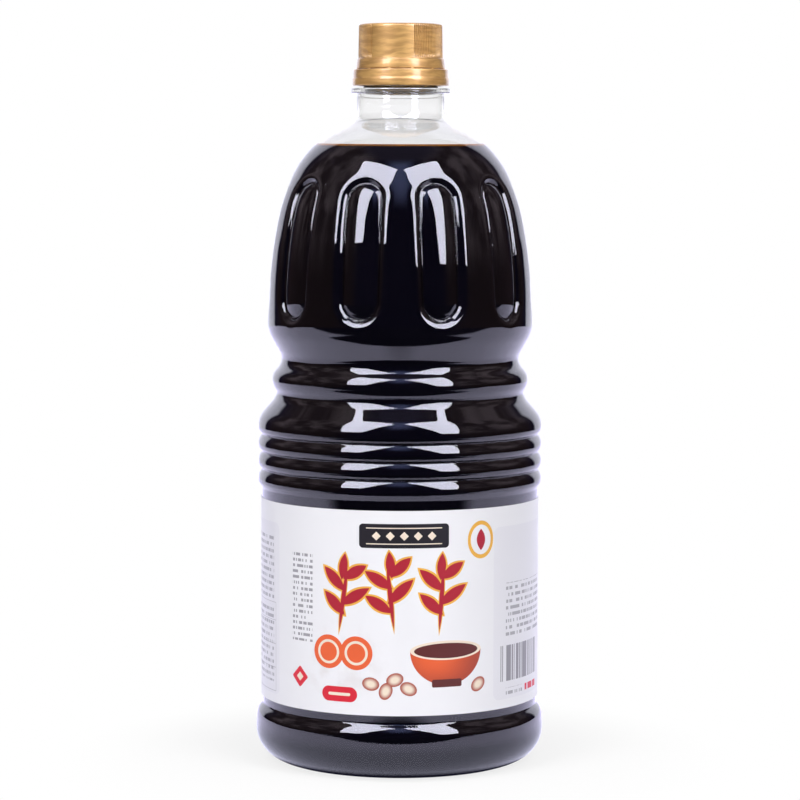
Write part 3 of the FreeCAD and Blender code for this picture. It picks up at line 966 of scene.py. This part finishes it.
@dataclass
class ScrewCap:
    """Gold cap whose skirt alternates three smooth pads with three finely fluted arcs."""

    low: float = 234.95
    top: float = 250.0
    flange_high: float = 238.3
    flange_radius: float = 15.05
    flange_top_radius: float = 14.65
    pad_radius: float = 14.35
    top_radius: float = 14.15
    bore: float = 13.0
    arcs: int = 3
    flutes: int = 20
    pitch: float = 3.0
    start: float = 19.5
    flute_depth: float = 0.6
    columns: int = 720

    def build(self) -> Piece:
        """Makes the cap and puts it on the frame."""
        corners = (
            Corner(0.0, self.top - 2.0),
            Corner(self.bore, self.top - 2.0, 0.5),
            Corner(self.bore, self.low, 0.15),
            Corner(self.flange_radius, self.low, 0.3),
            Corner(self.flange_top_radius, self.flange_high, 0.4),
            Corner(self.pad_radius, self.flange_high, 0.25),
            Corner(self.top_radius, self.top, 0.9),
            Corner(0.0, self.top),
        )
        outline = Outline(corners, turn=22.0, step=0.6).points()
        outline = divided(outline, self.flange_high + 0.2, self.top - 0.9, 1.2)
        piece = turned("cap_shell", outline, self.columns)
        clean_up(piece)
        push(piece, "flutes", self._flutes(coordinates(piece)), -self.flute_depth)
        piece.data.materials.append(PearlGold().material())
        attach(piece, "root")
        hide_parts("cap")
        return piece

    def _flutes(self, places: np.ndarray) -> np.ndarray:
        """Depth of the flutes at each place, from 0 to 1."""
        azimuth = np.degrees(np.arctan2(places[:, 0], -places[:, 1]))
        arc = 360.0 / self.arcs
        azimuth = (azimuth - self.start) % arc
        inside = (azimuth < (self.flutes - 0.5) * self.pitch) | (azimuth > arc - 0.5 * self.pitch)
        wave = np.abs((azimuth / self.pitch + 0.5) % 1.0 - 0.5) * 2.0
        deep = np.clip(1.0 - wave / 0.62, 0.0, 1.0)
        height = np.clip((places[:, 2] - self.flange_high - 0.3) / 0.3, 0.0, 1.0)
        height *= np.clip((self.top - 0.35 - places[:, 2]) / 0.9, 0.0, 1.0)
        skirt = np.hypot(places[:, 0], places[:, 1]) > self.bore + 0.4
        return deep * height * inside * skirt


@dataclass
class TamperBand:
    """Flared band left under the cap, joined to it by small bridges."""

    low: float = 229.2
    high: float = 234.8
    low_radius: float = 16.35
    high_radius: float = 15.95
    bore: float = 14.6
    bridges: int = 12
    bridge_start: float = 15.0
    bridge_radius: float = 14.9
    bridge_size: Pair = (1.0, 0.7)
    cap_low: float = 234.95

    def build(self) -> Piece:
        """Makes the band with its bridges and puts it on the frame."""
        corners = (
            Corner(self.bore, self.high),
            Corner(self.bore, self.low, 0.1),
            Corner(self.low_radius, self.low, 0.3),
            Corner(self.low_radius - 0.05, self.low + 2.3, 1.5),
            Corner(self.low_radius - 0.3, self.low + 2.9, 1.5),
            Corner(self.high_radius, self.high, 0.45),
            Corner(self.bore, self.high),
        )
        band = turned("band_ring", Outline(corners, turn=15.0, step=0.6).points(), 240)
        clean_up(band)
        pieces = [band] + [self._bridge(number) for number in range(self.bridges)]
        piece = join(pieces)
        select_only(piece)
        bpy.ops.object.shade_smooth_by_angle(angle=math.radians(40))
        piece.name = piece.data.name = "tamper_ring"
        piece.data.materials.append(PearlGold("pearl_gold_band").material())
        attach(piece, "root")
        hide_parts("tamper_band")
        return piece

    def _bridge(self, number: int) -> Piece:
        """One small bridge between band and cap, with softened edges."""
        azimuth = math.radians(self.bridge_start + 360.0 / self.bridges * number)
        middle = Vector((math.sin(azimuth), -math.cos(azimuth), 0.0)) * self.bridge_radius
        middle.z = (self.high + self.cap_low) / 2
        bpy.ops.object.select_all(action="DESELECT")
        bpy.ops.mesh.primitive_cube_add(size=MM, location=middle * MM, rotation=(0, 0, azimuth))
        bridge = bpy.context.active_object
        bridge.scale = (*self.bridge_size, self.cap_low - self.high + 0.3)
        bpy.ops.object.transform_apply(location=True, rotation=True, scale=True)
        bridge.name = f"bridge_{number + 1}"
        apply_modifier(bridge, "BEVEL", width=0.12 * MM, segments=2)
        return bridge


# Studio


@dataclass(frozen=True)
class Softbox:
    """Long soft lamp that leans over the bottle from one side, in metres.

    Inner and outer are the ends of a line across it, rise is the way up its length, and foot and head
    are how far it goes down and up from that line. Its gleam is what glossy surfaces mirror, and its
    light is what falls on everything else.
    """

    name: str
    side: float
    foot: float
    inner: Place = (0.7095, -1.1654, 0.5594)
    outer: Place = (1.0145, -0.8810, 0.5153)
    rise: Place = (-0.664, 0.686, 0.294)
    head: float = 1.036
    gleam: float = 14.6
    light: float = 7.8
    tone: Colour = (0.84, 0.84, 1.0)

    def build(self) -> None:
        """Adds the lamp twice in one place, once for gloss and once for plain light."""
        mirror = Vector((self.side, 1.0, 1.0))
        inner, outer, rise = (Vector(part) * mirror for part in (self.inner, self.outer, self.rise))
        across = (outer - inner) * self.side
        width, length = across.length, self.head + self.foot
        centre = (inner + outer) / 2 + rise * (self.head - self.foot) / 2
        axes = (across.normalized(), rise.normalized(), across.cross(rise).normalized())
        for part, radiance in (("gleam", self.gleam), ("light", self.light)):
            lamp = bpy.data.lights.new(f"{self.name}_{part}", "AREA")
            lamp.shape = "RECTANGLE"
            lamp.size, lamp.size_y = width, length
            lamp.energy = radiance * math.pi * width * length
            holder = bpy.data.objects.new(lamp.name, lamp)
            bpy.context.scene.collection.objects.link(holder)
            holder.matrix_world = Matrix.Translation(centre) @ Matrix(axes).transposed().to_4x4()
            holder.visible_camera = False
            holder.visible_glossy = part == "gleam"
            holder.visible_diffuse = part == "light"
            if part == "gleam":
                lamp.color = self.tone


@dataclass(frozen=True)
class FloorCard:
    """White card round the bottle's foot as gloss mirrors it, in metres.

    It glows as the floor's painted reflection. It is darker near the bottle, which is painted shade,
    and dark right under the foot, which is a painted contact shadow; it is also dark along a lane in
    front and far in front. Each pair says where a smooth edge begins and where it is complete.
    """

    # Painted shade: the card is darker near the bottle and paler farther out.
    near_shade_tone: Colour = (1.15, 1.15, 1.5)
    outer_tone: Colour = (1.6, 1.55, 2.1)
    dark_tone: Colour = (0.02, 0.02, 0.05)
    outer: Pair = (0.06, 0.12)
    lane_side: Pair = (0.31, 0.25)
    lane_start: Pair = (-0.122, -0.138)
    far: Pair = (-0.22, -0.34)
    # Painted contact shadow under the foot.
    foot: Pair = (0.0455, 0.042)

    def tone(self, tree: Tree, place: Socket) -> Socket:
        """Colour of the card at a place on the floor."""
        x, y, _ = tree.parts(place)
        out = tree.vector("LENGTH", place)
        lane = tree.ramp(tree.math("ABSOLUTE", x), *self.lane_side)
        dim = tree.math("MULTIPLY", lane, tree.ramp(y, *self.lane_start))
        # Painted contact shadow under the foot.
        dim = tree.math("MAXIMUM", dim, tree.ramp(out, *self.foot))
        dim = tree.math("MAXIMUM", dim, tree.ramp(y, *self.far))
        # Painted shade: darker near the bottle, paler farther out.
        pale = tree.mix(tree.ramp(out, *self.outer), self.near_shade_tone, self.outer_tone)
        return tree.mix(dim, pale, self.dark_tone)


@dataclass(frozen=True)
class Room:
    """Surroundings as gloss mirrors them: a bright wall behind, dim shelves aside, haze above.

    Each pair says where a smooth edge begins and where it is complete, in parts of a direction of
    length 1.
    """

    wall_tone: Colour = (1.4, 1.4, 1.65)
    wall_side: Pair = (0.74, 0.80)
    wall_top: Pair = (0.95, 0.80)
    front_tone: Colour = (0.02, 0.018, 0.06)
    aside: Pair = (0.60, 0.90)
    shelf_gap: Colour = (0.10, 0.07, 0.08)
    shelf_tone: Colour = (0.50, 0.40, 0.45)
    shelf_foot: Pair = (0.05, 0.35)
    skirting: Colour = (0.07, 0.045, 0.05)
    haze_tone: Colour = (0.60, 0.70, 1.45)
    haze_side: Pair = (0.24, 0.03)
    haze_rise: Pair = (0.46, 0.80)
    ceiling_tone: Colour = (0.13, 0.11, 0.19)
    ceiling: Pair = (0.88, 0.96)

    def tone(self, tree: Tree, towards: Socket) -> Socket:
        """Colour of the surroundings in a direction."""
        x, y, z = tree.parts(towards)
        sideways = tree.math("ABSOLUTE", x)
        level = tree.math("MAXIMUM", tree.vector("LENGTH", tree.joined(x, y)), 0.001)
        behind = tree.ramp(tree.math("DIVIDE", y, level), *self.wall_side)
        wall = tree.math("MULTIPLY", behind, tree.ramp(z, *self.wall_top))
        aside = tree.ramp(tree.math("DIVIDE", sideways, level), *self.aside)
        clutter = tree.ramp(tree.noise(towards, 3.6, 4.0), 0.36, 0.66)
        shelves = tree.mix(clutter, self.shelf_gap, self.shelf_tone)
        sides = tree.mix(tree.ramp(z, *self.shelf_foot), self.skirting, shelves)
        around = tree.mix(aside, self.front_tone, sides)
        rise = tree.ramp(z, *self.haze_rise)
        haze = tree.math("MULTIPLY", tree.ramp(sideways, *self.haze_side), rise)
        around = tree.mix(haze, around, self.haze_tone)
        around = tree.mix(tree.ramp(z, *self.ceiling), around, self.ceiling_tone)
        return tree.mix(wall, around, self.wall_tone)


@dataclass
class Studio:
    """White studio: floor, bright wall behind, dim room in front, two softboxes and the camera."""

    distance: float = 1.047
    eye: float = 0.208
    pitch: float = 4.66
    roll: float = 0.13
    lens: float = 138.6
    floor_radius: float = 1.6
    shadow_reach: Pair = (0.12, 0.05)
    shadow_share: float = 0.2
    ambient: float = 0.15
    white: Colour = (1.0, 1.0, 1.0)
    card: FloorCard = field(default_factory=FloorCard)
    room: Room = field(default_factory=Room)

    def build(self) -> None:
        """Sets up everything round the bottle."""
        bpy.context.scene.view_settings.view_transform = "Standard"
        self._camera()
        self._floor()
        self._world()
        Softbox("softbox_left", -1.0, 0.0).build()
        Softbox("softbox_right", 1.0, 0.3).build()

    def _camera(self) -> None:
        """Camera in front, a little above the shoulder and looking slightly down."""
        data = bpy.data.cameras.new("camera")
        data.lens = self.lens
        data.sensor_width = 36.0
        data.clip_start = 0.01
        camera = bpy.data.objects.new("camera", data)
        bpy.context.scene.collection.objects.link(camera)
        tilt = Matrix.Rotation(math.radians(90.0 - self.pitch), 4, "X")
        roll = Matrix.Rotation(math.radians(self.roll), 4, "Z")
        camera.matrix_world = Matrix.Translation((0.0, -self.distance, self.eye)) @ tilt @ roll
        bpy.context.scene.camera = camera

    def _floor(self) -> None:
        """Round white floor that keeps only the soft contact shadow."""
        bpy.ops.object.select_all(action="DESELECT")
        bpy.ops.mesh.primitive_circle_add(vertices=96, radius=self.floor_radius, fill_type="NGON")
        floor = bpy.context.active_object
        floor.name = "floor"
        material = bpy.data.materials.new("studio_floor")
        tree = Tree(material)
        place = tree.object_place()
        near = tree.ramp(tree.vector("LENGTH", place), *self.shadow_reach)
        shadow = tree.math("MULTIPLY", near, self.shadow_share)
        lit = tree.node("ShaderNodeBsdfDiffuse", {0: (0.8, 0.8, 0.8)}).outputs[0]
        shown = tree.blend(shadow, tree.glow(self.white), lit)
        # In gloss the floor glows with the card's tones: a painted reflection, with painted shade near the
        # bottle and a painted contact shadow under the foot.
        unseen = tree.blend(tree.mirrored(), lit, tree.glow(self.card.tone(tree, place)))
        tree.node("ShaderNodeOutputMaterial", {0: tree.blend(tree.seen(), unseen, shown)})
        floor.data.materials.append(material)

    def _world(self) -> None:
        """White to the eye and through glass; in gloss, a white wall behind and a dim room."""
        world = bpy.data.worlds.new("studio")
        bpy.context.scene.world = world
        tree = Tree(world)
        towards = tree.node("ShaderNodeTexCoord").outputs["Generated"]
        unseen = tree.mix(tree.mirrored(), (self.ambient,) * 3, self.room.tone(tree, towards))
        sky = tree.node("ShaderNodeBackground", {0: tree.mix(tree.seen(), unseen, self.white), 1: 1.0})
        tree.node("ShaderNodeOutputWorld", {0: sky.outputs[0]})


def report(piece: Piece) -> None:
    """Logs a finished piece's name and size."""
    piece.data.calc_loop_triangles()
    LOG.info("%s: %d triangles", piece.name, len(piece.data.loop_triangles))


def main() -> None:
    """Builds every piece of the jug and the studio round it."""
    logging.basicConfig(level=logging.INFO, format="%(message)s")
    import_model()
    bottle = Bottle()
    for assembly in (bottle, Sauce(bottle), Label(), ScrewCap(), TamperBand()):
        report(assembly.build())
    Studio().build()


if __name__ == "__main__":
    main()
